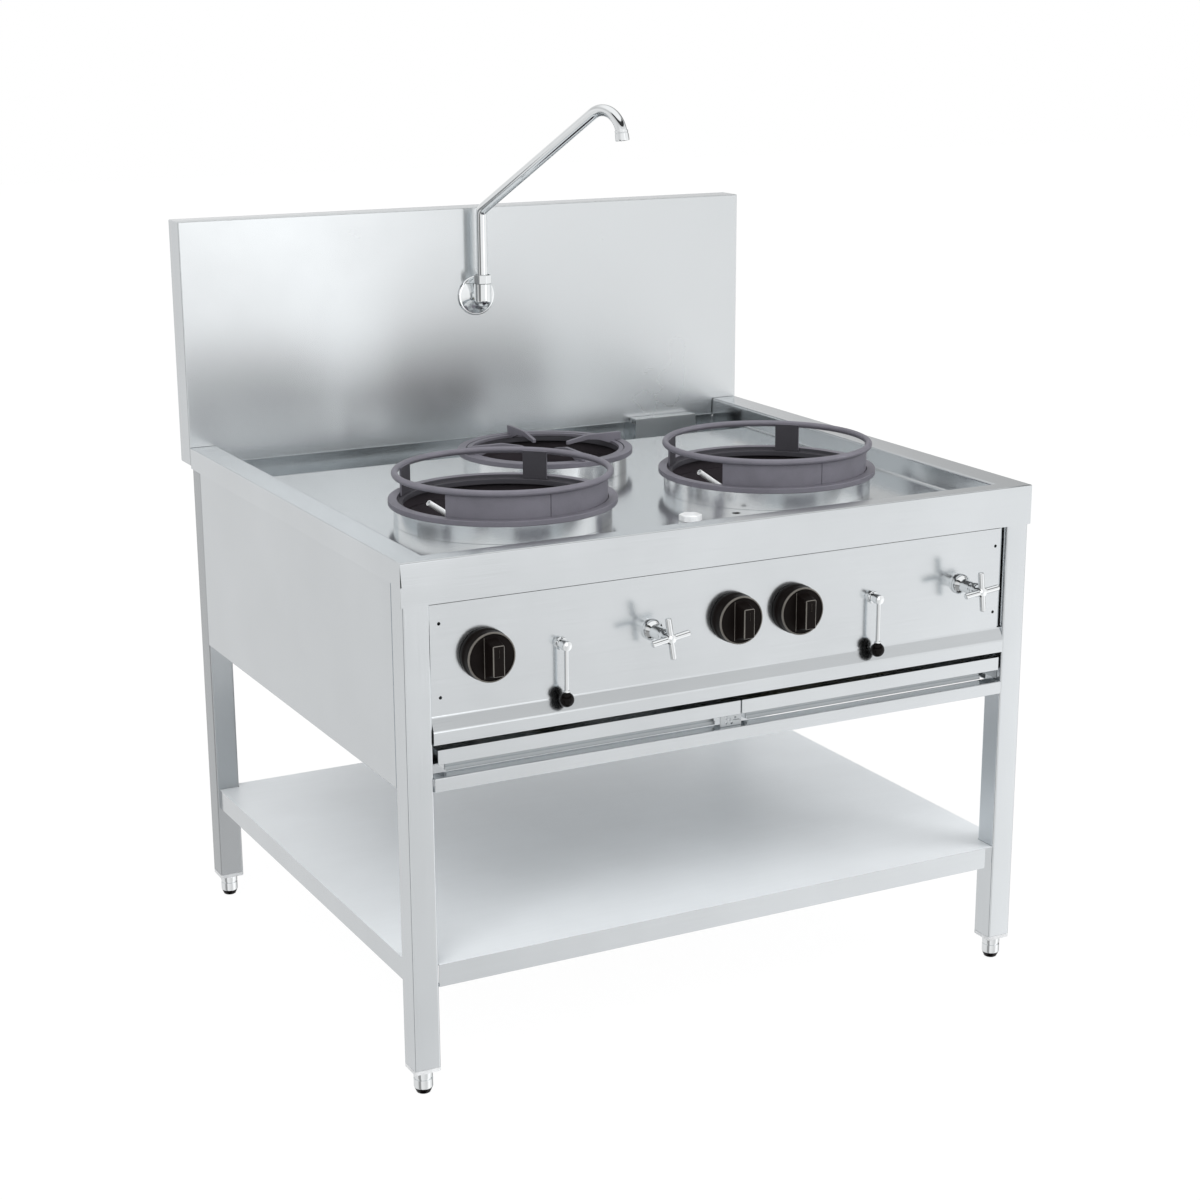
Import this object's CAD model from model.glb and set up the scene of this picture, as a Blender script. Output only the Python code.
"""Looks of a stainless wok range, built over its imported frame: folded steel, cast rings and chrome.

Laid out as an add-on with one operator for each piece or group of like pieces, and run as a script.
Places are in millimetres from the cabinet's left face, its front plane and the floor.
"""
import math

import bmesh
import bpy
from mathutils import Matrix, Vector


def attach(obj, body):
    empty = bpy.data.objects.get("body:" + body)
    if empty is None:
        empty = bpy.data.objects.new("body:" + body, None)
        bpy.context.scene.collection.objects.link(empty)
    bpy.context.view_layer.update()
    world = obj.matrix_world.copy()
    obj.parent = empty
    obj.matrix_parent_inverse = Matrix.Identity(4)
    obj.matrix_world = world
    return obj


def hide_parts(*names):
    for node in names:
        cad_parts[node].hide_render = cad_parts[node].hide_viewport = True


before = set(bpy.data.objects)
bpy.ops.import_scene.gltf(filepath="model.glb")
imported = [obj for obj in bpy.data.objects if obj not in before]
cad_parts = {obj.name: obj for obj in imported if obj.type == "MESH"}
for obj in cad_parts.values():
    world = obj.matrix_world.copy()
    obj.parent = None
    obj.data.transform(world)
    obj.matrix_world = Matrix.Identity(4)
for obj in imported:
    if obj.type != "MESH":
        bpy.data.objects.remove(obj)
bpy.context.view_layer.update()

bl_info = {
    "name": "Wok Range",
    "version": (1, 0, 0),
    "blender": (4, 5, 0),
    "location": "View3D > Sidebar > Wok Range",
    "description": "Folded steel, cast burner rings, controls and spout of a wok range",
    "category": "Add Mesh",
}

MM = 0.001
CORNER = Vector((525.0, 445.0, 0.0))     # from the cabinet's corner to the frame's origin
FULL_TURN = 2 * math.pi
UP = Vector((0, 0, 1))

# ------------------------------------------------------------------ sizes, in millimetres
WIDTH = 1050.0
DEPTH = 892.0                # front plane to the splashback's face
RIM_TOP = 787.0
TOP_SHEET = 2.0
SHEET = 1.5
RIM_FRONT, RIM_LEFT, RIM_RIGHT = 32.2, 46.7, 49.1
FASCIA_HEIGHT = 62.0
SKIRT_HEIGHT = 34.0
DECK_TOP = 752.7
DECK_REAR = 769.7
GUTTER_FLOOR = 715.0
RINSE_OUTLET = (626, 176, DECK_TOP)
DRAIN = (890, 878, GUTTER_FLOOR)
LEG_SIDE = 40.0
LEG_LEFT, LEG_RIGHT = 2.7, 1007.3
LEG_FRONT, LEG_REAR = 2.3, 851.0
LEG_BOTTOM = 36.0
LEG_TOP = 784.7
JOINT = 0.3                  # gap between a leg and a sheet
INNER_LEFT, INNER_RIGHT = LEG_LEFT + LEG_SIDE + JOINT, LEG_RIGHT - JOINT
PANEL_FACE = 8.75            # control panel behind the front plane
PANEL_LOW = 456.5            # lower edge of rail, side and back panels
CONTROL_HEIGHT = 642.4
SPLASH_TOP = 1157.4
SPLASH_LOW = 756.8
SPLASH_THICK = 50.0
KNOBS = {"left": 126.9, "rear": 524.0, "right": 628.7}
LEVERS = {"left": 242.0, "right": 765.0}
BALL_CENTRE = 564.0          # height of a lever's ball
TAPS = {"spout": (387.3, 9.0), "rinse": (926.7, 6.5)}     # and the turn of its cross
BURNERS = {                  # centre, and radius of the flange
    "wok_left": (297.9, 309.7, 172.5),
    "wok_right": (761.9, 310.4, 172.5),
    "rear": (520.6, 618.2, 144.8),
}
COLLAR_INSET = 7.7           # this and the next two are taken off the flange's radius
NECK_INSET = COLLAR_INSET + 4.5
SEAT_INSET = 13.9
RING_PLAY = 0.6              # of a loose ring in its seat
FLANGE_TOP = 788.2
RING_FOOT = FLANGE_TOP - 5.7
HEAD_FLOOR = RIM_TOP - 101.7
JET_HEIGHT = HEAD_FLOOR - 34.0
TRAY_SEAM = 535.0
BELL_Y = 158.0               # mouths of the mixing tubes
SPOUT_X, SPOUT_Y = 525.0, 864.0
SPOUT_HEIGHT = 1006.7        # axis of the wall outlet
SPOUT_NUT_TOP = 1045.5
RISER_Y = DEPTH + 26         # water pipe behind the splashback
WATER_PASS = 585.0           # height of the water pipe under the burners
GAS_INLET = 972.0
SPOUT_PIPE = 9.5
SPOUT_YAW = -70.0            # degrees
SPOUT_SLOPE = 33.2


def spot(x, y, z):
    """A place given from the left face, the front plane and the floor, in the row frame."""
    return Vector((x - CORNER.x, y - CORNER.y, z)) * MM


def at_controls(x, y=0.0):
    """A place on the line of the knobs' axes."""
    return spot(x, y, CONTROL_HEIGHT)


def mm(*values):
    """A length or a direction in millimetres, in metres."""
    return Vector(values) * MM if len(values) > 1 else values[0] * MM


WOK_SHIFTS = {
    side: mm(BURNERS[f"wok_{side}"][0] - BURNERS["wok_left"][0],
             BURNERS[f"wok_{side}"][1] - BURNERS["wok_left"][1], 0)
    for side in ("left", "right")
}
LEG_SHIFTS = {
    f"{end}_{side}": mm(x - LEG_LEFT, y - LEG_FRONT, 0)
    for end, y in (("front", LEG_FRONT), ("rear", LEG_REAR))
    for side, x in (("left", LEG_LEFT), ("right", LEG_RIGHT))
}


# ------------------------------------------------------------------ work at the bench
def deselect():
    bpy.ops.object.select_all(action="DESELECT")


def only(*pieces):
    """Selects these pieces and nothing else; the last one is active."""
    deselect()
    for piece in pieces:
        piece.select_set(True)
    bpy.context.view_layer.objects.active = pieces[-1]


def discard(piece):
    """Takes a piece out of the scene."""
    only(piece)
    bpy.ops.object.delete()


def edit(piece):
    """Opens a piece in edit mode with all of it selected."""
    only(piece)
    bpy.ops.object.mode_set(mode="EDIT")
    bpy.ops.mesh.select_mode(type="VERT")
    select_whole()


def leave():
    bpy.ops.object.mode_set(mode="OBJECT")


def select_whole():
    bpy.ops.mesh.select_all(action="SELECT")


def weld(distance=1e-6):
    bpy.ops.mesh.remove_doubles(threshold=distance)


def extrude(along):
    bpy.ops.mesh.extrude_region_move(TRANSFORM_OT_translate={"value": along})


def extrude_edges(along):
    bpy.ops.mesh.extrude_edges_move(TRANSFORM_OT_translate={"value": along})


def sink(depth):
    """Pushes the chosen faces in against their normals."""
    bpy.ops.mesh.extrude_region_shrink_fatten(TRANSFORM_OT_shrink_fatten={"value": -mm(depth)})


def bevel(width, segments):
    bpy.ops.mesh.bevel(offset=width, segments=segments, affect="EDGES")


def bisect(place, across):
    bpy.ops.mesh.bisect(plane_co=place, plane_no=across)


def inset(width):
    bpy.ops.mesh.inset(thickness=mm(width))


def face_outwards():
    bpy.ops.mesh.normals_make_consistent(inside=False)


def is_sharp(edge, angle=0.5):
    return edge.calc_face_angle(0.0) > angle


def named(piece, name):
    piece.name = piece.data.name = name
    return piece


def settled(name):
    """Names the piece just added, and bakes its place, turn and scale into its mesh."""
    piece = named(bpy.context.object, name)
    bake()
    return piece


def bake():
    bpy.ops.object.transform_apply(location=True, rotation=True, scale=True)


def choose(piece, kind, test):
    """In edit mode, selects the vertices, edges or faces that pass the test: at least one."""
    bpy.ops.mesh.select_mode(type={"verts": "VERT", "edges": "EDGE", "faces": "FACE"}[kind])
    bpy.ops.mesh.select_all(action="DESELECT")
    shape = bmesh.from_edit_mesh(piece.data)
    shape.normal_update()
    chosen = [element for element in getattr(shape, kind) if test(element)]
    if not chosen:
        raise RuntimeError(f"{piece.name}: nothing chosen")
    for element in chosen:
        element.select_set(True)
    shape.select_flush_mode()
    bmesh.update_edit_mesh(piece.data)


def middle(element):
    """Centre of an edge or face, in millimetres from the cabinet's corner."""
    corners = [corner.co for corner in element.verts]
    centre = sum(corners, Vector()) / len(corners)
    return centre / MM + CORNER


def draw(name, points, closed=True):
    """An outline drawn by pulling one corner from place to place. It stays in edit mode."""
    deselect()
    bpy.ops.mesh.primitive_plane_add(size=0.01, location=(0, 0, 0))
    piece = named(bpy.context.object, name)
    edit(piece)
    bpy.ops.mesh.merge(type="CENTER")
    bpy.ops.transform.translate(value=points[0])
    route = points[1:] + ([points[0]] if closed else [])
    here = points[0]
    for there in route:
        extrude(there - here)
        here = there
    select_whole()
    weld()
    return piece


def tidy(piece):
    """Closes seams and poles, turns every face outwards and leaves edit mode."""
    if piece.mode != "EDIT":
        edit(piece)
    select_whole()
    weld(2e-6)
    face_outwards()
    leave()
    return piece


def place_axis(profile, centre, axis):
    """Profile points [radius, height] set in the plane of the axis."""
    if axis == "z":
        return [centre + mm(radius, 0.0, height) for radius, height in profile]
    return [centre + mm(radius, -height, 0.0) for radius, height in profile]


def turned(name, profile, centre, axis="z", steps=64, angle=FULL_TURN):
    """A turned piece: its section is drawn and spun about the axis, upwards or to the front."""
    closed = angle >= FULL_TURN - 1e-6
    piece = draw(name, place_axis(profile, centre, axis))
    direction = (0, 0, -1) if axis == "z" else (0, 1, 0)
    if not closed:
        bpy.ops.mesh.edge_face_add()
    bpy.ops.mesh.spin(steps=steps, angle=angle, center=centre, axis=direction,
                      use_auto_merge=closed)
    return tidy(piece)


def pulled(name, points, along):
    """A closed outline filled and pulled along a straight line."""
    piece = draw(name, points)
    bpy.ops.mesh.edge_face_add()
    extrude(along)
    return tidy(piece)


def box(name, low, high):
    """A block between two places."""
    deselect()
    bpy.ops.mesh.primitive_cube_add(size=1, location=(low + high) / 2, scale=high - low)
    return settled(name)


def rod(name, start, end, radius, sides=24):
    """A round bar between two places."""
    along = end - start
    deselect()
    bpy.ops.mesh.primitive_cylinder_add(vertices=sides, radius=radius * MM, depth=along.length,
                                        location=(start + end) / 2,
                                        rotation=along.to_track_quat("Z", "Y").to_euler())
    return settled(name)


def bore(place, reach, radius, sides=24, axis="y"):
    """A round cutter through a place, given in millimetres, reaching as far to both sides."""
    x, y, z = place
    if axis == "y":
        return rod("hole", spot(x, y - reach, z), spot(x, y + reach, z), radius, sides)
    return rod("hole", spot(x, y, z - reach), spot(x, y, z + reach), radius, sides)


def bent(places, bend, steps=8):
    """The places of a path with its corners rounded to one radius."""
    route = [places[0]]
    for before, corner, after in zip(places, places[1:], places[2:]):
        back, on = (before - corner).normalized(), (after - corner).normalized()
        half = back.angle(on) / 2
        centre = corner + (back + on).normalized() * (bend * MM / math.sin(half))
        run = bend * MM / math.tan(half)
        start, end = corner + back * run - centre, corner + on * run - centre
        for step in range(steps + 1):
            route.append(centre + start.lerp(end, step / steps).normalized() * (bend * MM))
    return route + [places[-1]]


def swept(name, places, radius, sides=24):
    """A round bar or pipe along a path, closed at both ends."""
    piece = draw(name, places, closed=False)
    leave()
    only(piece)
    bpy.ops.object.convert(target="CURVE")
    piece = bpy.context.object
    piece.data.bevel_depth = radius * MM
    piece.data.bevel_resolution = sides // 2 - 2
    piece.data.use_fill_caps = True
    bpy.ops.object.convert(target="MESH")
    piece = named(bpy.context.object, name)
    edit(piece)
    weld()
    choose(piece, "faces", lambda face: len(face.verts) == 3)
    bpy.ops.mesh.dissolve_faces()
    return tidy(piece)


def stood(piece, place, direction):
    """Turns a piece made about the frame's upright to a direction, and sets it at a place."""
    only(piece)
    piece.rotation_euler = direction.to_track_quat("Z", "Y").to_euler()
    piece.location = place
    bake()
    return piece


def reworked(name, node, edge):
    """A copy of a solid with its flat faces made whole and its edges rounded."""
    only(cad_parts[node])
    bpy.ops.object.duplicate(linked=False)
    piece = named(bpy.context.object, name)
    edit(piece)
    weld(1e-5)
    bpy.ops.mesh.dissolve_limited(angle_limit=math.radians(1.0))
    leave()
    return smooth(rounded(piece, edge), 40.0)


def modified(piece, kind, **settings):
    """Adds one modifier and applies it."""
    only(piece)
    modifier = piece.modifiers.new(kind.title(), kind)
    for key, value in settings.items():
        setattr(modifier, key, value)
    bpy.ops.object.modifier_apply(modifier=modifier.name)
    return piece


def crosswise_sheet(name, path, outward):
    """A folded sheet between the legs, from places [y, z] across its folds."""
    return folded_sheet(name, [spot(INNER_LEFT, y, z) for y, z in path],
                        mm(INNER_RIGHT - INNER_LEFT, 0, 0), SHEET, 1.6, outward)


def thickened(piece, thickness):
    """Gives a skin its thickness, inwards."""
    return modified(piece, "SOLIDIFY", thickness=thickness * MM, offset=-1.0, use_even_offset=True)


def rounded(piece, width, segments=2, angle=32.0):
    """Rounds the sharp edges."""
    return modified(piece, "BEVEL", width=width * MM, segments=segments, limit_method="ANGLE",
                    angle_limit=math.radians(angle), miter_outer="MITER_ARC",
                    use_clamp_overlap=True)


def cut_out(piece, *tools):
    """Cuts the tools out of a piece and takes them away."""
    for tool in tools:
        modified(piece, "BOOLEAN", operation="DIFFERENCE", object=tool, solver="EXACT")
    for tool in tools:
        discard(tool)
    return piece


def joined(first, *others):
    """Makes one piece of several."""
    only(*others, first)
    bpy.ops.object.join()
    return first


def copied(piece, name, shift=Vector(), turn=0.0, about=Vector()):
    """A copy with its own mesh, moved and turned about an upright."""
    only(piece)
    bpy.ops.object.duplicate(linked=False)
    twin = named(bpy.context.object, name)
    twin.location = about + Matrix.Rotation(turn, 3, "Z") @ (-about) + shift
    twin.rotation_euler = (0, 0, turn)
    bake()
    return twin


def smooth(piece, angle=32.0):
    only(piece)
    bpy.ops.object.shade_smooth_by_angle(angle=math.radians(angle))
    return piece


def folded_sheet(name, path, along, thickness, radius, outward):
    """A sheet folded along a path of places, pulled sideways, with rounded folds."""
    piece = draw(name, path, closed=False)
    ends = (path[0], path[-1])
    choose(piece, "verts", lambda v: all((v.co - end).length > 1e-5 for end in ends))
    bpy.ops.mesh.bevel(offset=radius * MM, segments=4, affect="VERTICES")
    select_whole()
    extrude(along)
    select_whole()
    weld()
    face_outwards()
    start = (path[0] + path[1]) / 2 + along / 2
    shape = bmesh.from_edit_mesh(piece.data)
    near = min(shape.faces, key=lambda face: (face.calc_center_median() - start).length)
    if near.normal.dot(outward) < 0:
        bpy.ops.mesh.flip_normals()
    leave()
    return thickened(piece, thickness)


def dressed(piece, finish, body, slot, *nodes, second=None, where=None):
    """Gives a finished piece its finish, its body, its slot and the nodes it stands for.

    A second finish goes on the faces whose middle and normal pass the test.
    """
    modified(piece, "WEIGHTED_NORMAL", mode="FACE_AREA", weight=50, keep_sharp=True)
    piece.data.materials.clear()
    piece.data.materials.append(FINISHES[finish])
    if second:
        piece.data.materials.append(FINISHES[second])
        for face in piece.data.polygons:
            if where(face.center / MM + CORNER, face.normal):
                face.material_index = 1
    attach(piece, body)
    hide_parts(*nodes)


def alike(first, name, shifts):
    """A finished piece and its moved copies, one after the other, each with its place."""
    for place, shift in shifts.items():
        piece_name = f"{name}_{place}"
        yield place, first if first.name == piece_name else copied(first, piece_name, shift)


def behind_panel(at, _):
    return at.y > PANEL_FACE + 1.5


# ------------------------------------------------------------------ materials
FINISHES = {}


class Level:
    """A shader socket that takes part in plain arithmetic."""

    def __init__(self, paint, socket):
        self.paint, self.socket = paint, socket

    def maths(self, operation, first, second):
        node = self.paint.node("ShaderNodeMath", {"operation": operation}, {0: first, 1: second})
        return Level(self.paint, node.outputs[0])

    def __add__(self, other):
        return self.maths("ADD", self, other)

    def __mul__(self, other):
        return self.maths("MULTIPLY", self, other)

    def __sub__(self, other):
        return self.maths("SUBTRACT", self, other)

    def __rsub__(self, other):
        return self.maths("SUBTRACT", other, self)

    __radd__ = __add__
    __rmul__ = __mul__


class Paint:
    """One material and the nodes that feed its shader."""

    def __init__(self, name, owner=None):
        self.owner = owner or bpy.data.materials.new(name)
        self.owner.use_nodes = True
        self.tree = self.owner.node_tree
        self.shader = next((n for n in self.tree.nodes if n.type == "BSDF_PRINCIPLED"), None)

    def node(self, kind, settings=None, sockets=None):
        node = self.tree.nodes.new(kind)
        for key, value in (settings or {}).items():
            if key == "stops":
                self.set_stops(node.color_ramp, value)
            else:
                setattr(node, key, value)
        for key, value in (sockets or {}).items():
            self.feed(node.inputs[key], value)
        return node

    def feed(self, socket, value):
        if isinstance(value, Level):
            value = value.socket
        if isinstance(value, bpy.types.NodeSocket):
            self.tree.links.new(value, socket)
        else:
            socket.default_value = value

    @staticmethod
    def set_stops(ramp, stops):
        for index, (position, colour) in enumerate(stops):
            stop = ramp.elements[index] if index < 2 else ramp.elements.new(position)
            stop.position, stop.color = position, (*colour, 1.0)

    def noise(self, scale, stretch=(1.0, 1.0, 1.0), detail=2.0, roughness=0.5):
        """Cloudy values between 0 and 1, stretched along the object's axes."""
        where = self.node("ShaderNodeTexCoord").outputs["Object"]
        spread = self.node("ShaderNodeVectorMath", {"operation": "MULTIPLY"},
                           {0: where, 1: stretch})
        cloud = self.node("ShaderNodeTexNoise", None, {
            "Vector": spread.outputs[0], "Scale": scale, "Detail": detail, "Roughness": roughness})
        return Level(self, cloud.outputs["Fac"])

    def between(self, mask, dark, light):
        """A colour between two, by a mask."""
        stops = [(0.25, dark), (0.75, light)]
        ramp = self.node("ShaderNodeValToRGB", {"stops": stops}, {"Fac": mask})
        return ramp.outputs["Color"]

    def bump(self, height, strength, distance):
        node = self.node("ShaderNodeBump", None, {
            "Height": height, "Strength": strength, "Distance": distance})
        self.feed(self.shader.inputs["Normal"], node.outputs["Normal"])

    def set(self, **sockets):
        for key, value in sockets.items():
            self.feed(self.shader.inputs[key.replace("_", " ")], value)


def shade(colour, factor):
    return tuple(min(channel * factor, 1.0) for channel in colour)


def steel(name, colour, roughness, grain_along="x", grain=1.0, spread=0.05, metallic=1.0,
          smear=0.0):
    """Brushed sheet: fine straight grain, cloudy wipe marks and a little tone change."""
    stretch = {"x": (0.012, 1.0, 1.0), "y": (1.0, 0.012, 1.0), "z": (1.0, 1.0, 0.012)}[grain_along]
    paint = Paint(name)
    lines = paint.noise(760.0, stretch, 3.0, 0.6)
    wipes = paint.noise(5.5, (1.0, 1.0, 1.0), 3.0, 0.55)
    tone = lines * 0.35 + wipes * 0.65
    dark, light = shade(colour, 1.0 - spread), shade(colour, 1.0 + spread)
    paint.set(Base_Color=paint.between(tone, dark, light),
              Metallic=metallic, Anisotropic=smear, Anisotropic_Rotation=0.25,
              Roughness=roughness - 0.06 + wipes * 0.08 + lines * (0.05 * grain))
    paint.bump(lines, 0.12 * grain, 0.0002)
    FINISHES[name] = paint.owner


def chrome(name, colour, roughness):
    """Polished plating with faint water marks."""
    paint = Paint(name)
    marks = paint.noise(38.0, detail=3.0, roughness=0.6)
    paint.set(Base_Color=paint.between(marks, shade(colour, 0.96), shade(colour, 1.02)),
              Metallic=1.0, Roughness=roughness + marks * 0.04)
    paint.bump(marks, 0.012, 0.0004)
    FINISHES[name] = paint.owner


def cast(name, colour, roughness, metallic, grit=0.5):
    """Cast and coated iron: fine grit, cloudy oxide tone."""
    paint = Paint(name)
    grains = paint.noise(900.0, detail=3.0, roughness=0.65)
    clouds = paint.noise(22.0, detail=4.0, roughness=0.6)
    tone = grains * 0.3 + clouds * 0.7
    paint.set(Base_Color=paint.between(tone, shade(colour, 0.84), shade(colour, 1.18)),
              Metallic=metallic, Roughness=roughness - 0.08 + clouds * 0.16)
    paint.bump(grains, grit, 0.0003)
    FINISHES[name] = paint.owner


def moulded(name, colour, roughness, coat, sheen=0.5):
    """Moulded plastic with a fine texture and faint handling marks."""
    paint = Paint(name)
    pebbles = paint.noise(1400.0, detail=2.0)
    marks = paint.noise(45.0, detail=4.0, roughness=0.62)
    paint.set(Base_Color=paint.between(marks, shade(colour, 0.8), shade(colour, 1.3)),
              Metallic=0.0, Roughness=roughness - 0.05 + marks * 0.12, Coat_Weight=coat,
              Specular_IOR_Level=sheen)
    paint.bump(pebbles, 0.12, 0.0001)
    FINISHES[name] = paint.owner


# ------------------------------------------------------------------ settings
def colour_setting(name, description, default):
    return bpy.props.FloatVectorProperty(name=name, description=description, default=default,
                                         subtype="COLOR", size=3, min=0.0, max=1.0)


def length_setting(name, description, default):
    """A length in metres, given in millimetres."""
    return bpy.props.FloatProperty(name=name, description=description, default=default * MM,
                                   unit="LENGTH", subtype="DISTANCE", min=0.0, precision=5)


class WokRangeFinishes(bpy.types.PropertyGroup):
    """Colours of the finishes."""
    sheet_colour: colour_setting("Sheet", "Colour of the brushed outer sheets",
                                 (0.715, 0.742, 0.762))
    deck_colour: colour_setting("Deck", "Colour of the deck and splashback", (0.725, 0.750, 0.765))
    hidden_colour: colour_setting("Plain steel", "Colour of the steel behind and below",
                                  (0.52, 0.545, 0.56))
    chrome_colour: colour_setting("Chrome", "Colour of plated fittings", (0.86, 0.88, 0.89))
    cast_colour: colour_setting("Cast iron", "Colour of rings and flanges", (0.205, 0.199, 0.232))
    iron_colour: colour_setting("Burner iron", "Colour of the burner heads", (0.040, 0.034, 0.040))
    knob_colour: colour_setting("Knob", "Colour of knobs and bezels", (0.0058, 0.0044, 0.0040))
    brass_colour: colour_setting("Brass", "Colour of gas and water lines", (0.62, 0.50, 0.24))


class WokRangeShapes(bpy.types.PropertyGroup):
    """Sizes of the details."""
    fold_radius: length_setting("Fold radius", "Outer radius of the folds of the outer sheets", 2.2)
    deck_fold: length_setting("Deck fold", "Radius of the folds into the sunk deck", 4.0)
    cast_edge: length_setting("Cast edge", "Rounding of the flanges' edges", 1.2)
    ring_bar: length_setting("Ring bar", "Radius of the round bar of a wok ring", 5.0)
    cap_band: length_setting("Leg cap", "Height of the band at a leg's lower end", 6.5)
    knob_edge: length_setting("Knob edge", "Width of the bevel round a knob's disc", 2.4)


class WokRangeStudio(bpy.types.PropertyGroup):
    """The studio round the range."""
    floor_size: length_setting("Floor", "Side of the floor", 30000.0)
    ambient: bpy.props.FloatProperty(name="Ambient", default=0.92, min=0.0,
                                     description="Strength of the soft light all round")
    pit_level: bpy.props.FloatProperty(name="Straight below", default=0.05, min=0.0, max=1.0,
                                       description="Brightness straight below, in mirror images",
                                       subtype="FACTOR")
    key_power: bpy.props.FloatProperty(name="Key lamp", description="Power of the key lamp",
                                       default=70.0, min=0.0, unit="POWER")
    fill_power: bpy.props.FloatProperty(name="Fill lamp", description="Power of the fill lamp",
                                        default=85.0, min=0.0, unit="POWER")


def finishes():
    return bpy.context.scene.wok_range_finishes


def shapes():
    return bpy.context.scene.wok_range_shapes


def studio():
    return bpy.context.scene.wok_range_studio


# ------------------------------------------------------------------ operators
class WOKRANGE_OT_finishes(bpy.types.Operator):
    """Make the steel, chrome, cast iron, plastic and brass, and put them on every node"""
    bl_idname = "wok_range.finishes"
    bl_label = "Finishes"

    node_finish = {
        "brushed_steel": "sheet_steel", "plain_steel": "plain_steel", "chrome": "chrome",
        "cast_iron": "cast_iron", "burner_iron": "burner_iron", "black_plastic": "knob_black",
        "brass": "brass",
    }

    def execute(self, context):
        tone = finishes()
        steel("sheet_steel", tone.sheet_colour, 0.17, "x")
        steel("side_steel", shade(tone.sheet_colour, 0.98), 0.20, "y")
        steel("upright_steel", tone.sheet_colour, 0.20, "z")
        steel("rear_steel", shade(tone.sheet_colour, 0.66), 0.24, "z")
        steel("shelf_steel", shade(tone.sheet_colour, 1.16), 0.36, "x", metallic=0.20)
        steel("deck_steel", tone.deck_colour, 0.17, "x", grain=0.3)
        steel("splash_steel", shade(tone.deck_colour, 1.03), 0.28, "x", grain=0.06, spread=0.02,
              smear=0.75)
        steel("collar_steel", shade(tone.deck_colour, 1.27), 0.20, "z", grain=0.8, spread=0.09)
        steel("plain_steel", tone.hidden_colour, 0.36, "x", grain=0.8, spread=0.10)
        chrome("chrome", tone.chrome_colour, 0.03)
        cast("cast_iron", tone.cast_colour, 0.50, 0.45)
        cast("cast_shade", shade(tone.cast_colour, 0.30), 0.60, 0.3)
        cast("burner_iron", tone.iron_colour, 0.70, 0.2, grit=0.8)
        moulded("knob_black", tone.knob_colour, 0.34, 0.0, sheen=0.06)
        moulded("knob_rim", (0.112, 0.104, 0.092), 0.34, 0.1)
        moulded("ball_black", shade(tone.knob_colour, 0.4), 0.10, 0.0, sheen=0.12)
        moulded("cap_grey", (0.60, 0.61, 0.62), 0.42, 0.0)
        moulded("cap_white", (0.74, 0.755, 0.765), 0.28, 0.2)
        chrome("brass", tone.brass_colour, 0.22)
        by_slot = {slot: FINISHES[finish] for slot, finish in self.node_finish.items()}
        for name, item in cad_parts.items():
            finish = by_slot[self.slot_of(name)]
            for slot in item.material_slots:
                slot.material = finish
        return {"FINISHED"}

    @staticmethod
    def slot_of(name):
        """The finish a node has until a detailed piece takes its place."""
        starts = {
            "foot": "chrome", "tap": "chrome", "spout": "chrome", "lever_valve": "chrome",
            "pilot": "chrome", "deck_cap": "chrome",
            "lever": "black_plastic", "knob": "black_plastic",
            "valve": "black_plastic", "wok_ring": "cast_iron", "flange": "cast_iron",
            "pan_support": "cast_iron", "burner_head": "burner_iron", "gas_manifold": "brass",
            "water_line": "brass", "tray_runner": "plain_steel", "back_panel": "plain_steel",
        }
        for start, slot in starts.items():
            if name.startswith(start):
                return slot
        return "brushed_steel"


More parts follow.
